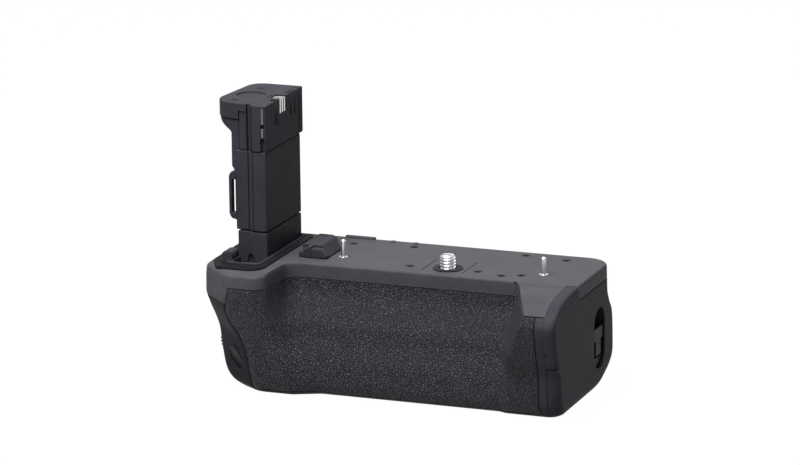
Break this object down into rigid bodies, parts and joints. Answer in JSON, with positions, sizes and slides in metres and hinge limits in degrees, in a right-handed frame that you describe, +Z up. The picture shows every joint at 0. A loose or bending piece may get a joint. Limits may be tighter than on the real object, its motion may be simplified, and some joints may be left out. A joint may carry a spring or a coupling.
{
  "type": "camera battery grip",
  "caption": "Vertical battery grip for a camera: leathered body, stalk that fills the battery bay, attachment screw with its wheel, sliding battery magazine and hinged network port cover.",
  "frame": {"origin": "on the attachment screw's axis, in the plane of the deck that meets the camera's base", "axes": "+X along the grip towards the network port, -Y towards the leather front, +Z up along the stalk"},
  "size_m": [0.157, 0.0827, 0.1118],
  "materials": {
    "casing": "fine satin grain",
    "inner_plastic": "satin",
    "textured_rubber": "pebbled leather grain",
    "frame_metal": "satin",
    "bright_steel": "turned",
    "black_screw": "blackened",
    "wheel_rubber": "toothed",
    "contact_metal": "plated",
    "battery_shell": "satin",
    "gloss_button": "polished",
    "control_plastic": "satin",
    "board": "coated board",
    "chip": "moulded"
  },
  "bodies": {
    "housing": {"top_cover": "casing", "front_cover": "casing", "rear_cover": "casing", "control_panel": "casing", "grip_leather": "textured_rubber", "thumb_pad": "textured_rubber", "base_plate": "casing", "base_screws": "black_screw", "sub_frame": "frame_metal", "deck_screws": "black_screw", "guide_pins": "bright_steel", "screw_bush": "inner_plastic", "wheel_pin": "frame_metal", "tripod_socket": "bright_steel", "stalk_collar": "casing", "stalk_base": "casing", "stalk_body": "casing", "stalk_head": "casing", "stalk_screws": "black_screw", "stalk_contacts": "contact_metal", "stalk_loop": "black_screw", "lug_block": "casing", "door_block": "casing", "door_hook": "casing", "port_frame": "inner_plastic", "lan_jack": "inner_plastic", "lan_contacts": "contact_metal", "lan_board": "board", "port_cover_pin": "frame_metal", "bay_frame": "inner_plastic", "bay_contacts": "contact_metal", "main_board": "board", "board_parts": "chip", "shutter_ring": "gloss_button", "dial_axles": "frame_metal", "button_switches": "chip", "switch_boards": "board", "stick_base": "inner_plastic"},
    "wheel": {"attach_wheel": "wheel_rubber"},
    "camera_screw": {"tripod_screw": "bright_steel", "screw_gear": "bright_steel"},
    "magazine": {"end_cover": "casing", "magazine_tray": "inner_plastic", "tray_contacts": "contact_metal", "battery_packs": "battery_shell", "key_hub": "control_plastic", "key_pin": "frame_metal"},
    "key": {"key_lever": "control_plastic"},
    "network_cover": {"port_cover": "casing"},
    "release": {"shutter_button": "gloss_button"},
    "front_dial": {"main_dial": "control_plastic"},
    "function_button": {"mfn_button": "control_plastic"},
    "focus_button": {"af_on_button": "control_plastic"},
    "lock_button": {"ae_lock_button": "control_plastic"},
    "point_button": {"af_point_button": "control_plastic"},
    "stick_ring": {"stick_gimbal": "frame_metal"},
    "stick_cap": {"stick": "control_plastic"},
    "rear_dial": {"quick_dial": "control_plastic"},
    "power_lever": {"power_switch": "control_plastic"}
  },
  "joints": [
    {"name": "wheel_turn", "type": "hinge", "parent": "housing", "child": "wheel", "pos_m": [0, 0.0215, 0], "axis": [0, 0, 1], "continuous": true},
    {"name": "screw_turn", "type": "hinge", "parent": "housing", "child": "camera_screw", "pos_m": [0, 0, 0], "axis": [0, 0, 1], "continuous": true},
    {"name": "magazine_slide", "type": "slide", "parent": "housing", "child": "magazine", "axis": [1, 0, 0], "range_m": [0, 0.117]},
    {"name": "key_fold", "type": "hinge", "parent": "magazine", "child": "key", "pos_m": [0.0559, 0.0175, -0.0347], "axis": [0, 1, 0], "range_deg": [0, 90]},
    {"name": "network_cover_open", "type": "hinge", "parent": "housing", "child": "network_cover", "pos_m": [0.0574, -0.005, -0.0145], "axis": [0, 0, 1], "range_deg": [0, 90]},
    {"name": "shutter_press", "type": "slide", "parent": "housing", "child": "release", "axis": [0.6203, 0.7204, 0.3102], "range_m": [0, 0.0008], "stiffness_N_per_m": 1000, "springref_m": -0.0004},
    {"name": "front_dial_turn", "type": "hinge", "parent": "housing", "child": "front_dial", "pos_m": [-0.0819, -0.017, -0.032], "axis": [0, 1, 0], "continuous": true},
    {"name": "function_press", "type": "slide", "parent": "housing", "child": "function_button", "axis": [1, 0, 0], "range_m": [0, 0.0005], "stiffness_N_per_m": 2000, "springref_m": -0.00025},
    {"name": "focus_press", "type": "slide", "parent": "housing", "child": "focus_button", "axis": [0, -1, 0], "range_m": [0, 0.0005], "stiffness_N_per_m": 2000, "springref_m": -0.00025},
    {"name": "lock_press", "type": "slide", "parent": "housing", "child": "lock_button", "axis": [0, -1, 0], "range_m": [0, 0.0005], "stiffness_N_per_m": 2000, "springref_m": -0.00025},
    {"name": "point_press", "type": "slide", "parent": "housing", "child": "point_button", "axis": [0, -1, 0], "range_m": [0, 0.0005], "stiffness_N_per_m": 2000, "springref_m": -0.00025},
    {"name": "stick_tilt_up", "type": "hinge", "parent": "housing", "child": "stick_ring", "pos_m": [-0.0655, 0.0367, -0.03], "axis": [1, 0, 0], "range_deg": [-8, 8], "stiffness_Nm_per_rad": 0.02},
    {"name": "stick_tilt_side", "type": "hinge", "parent": "stick_ring", "child": "stick_cap", "pos_m": [-0.0655, 0.0367, -0.03], "axis": [0, 0, 1], "range_deg": [-8, 8], "stiffness_Nm_per_rad": 0.02},
    {"name": "rear_dial_turn", "type": "hinge", "parent": "housing", "child": "rear_dial", "pos_m": [-0.077, 0.029, -0.0126], "axis": [1, 0, 0], "continuous": true},
    {"name": "power_lever_turn", "type": "hinge", "parent": "housing", "child": "power_lever", "pos_m": [-0.02, 0.04, -0.031], "axis": [0, 1, 0], "range_deg": [0, 40]}
  ],
  "couplings": [
    {"joint": "wheel_turn", "follows": "screw_turn", "ratio": -0.48276}
  ]
}
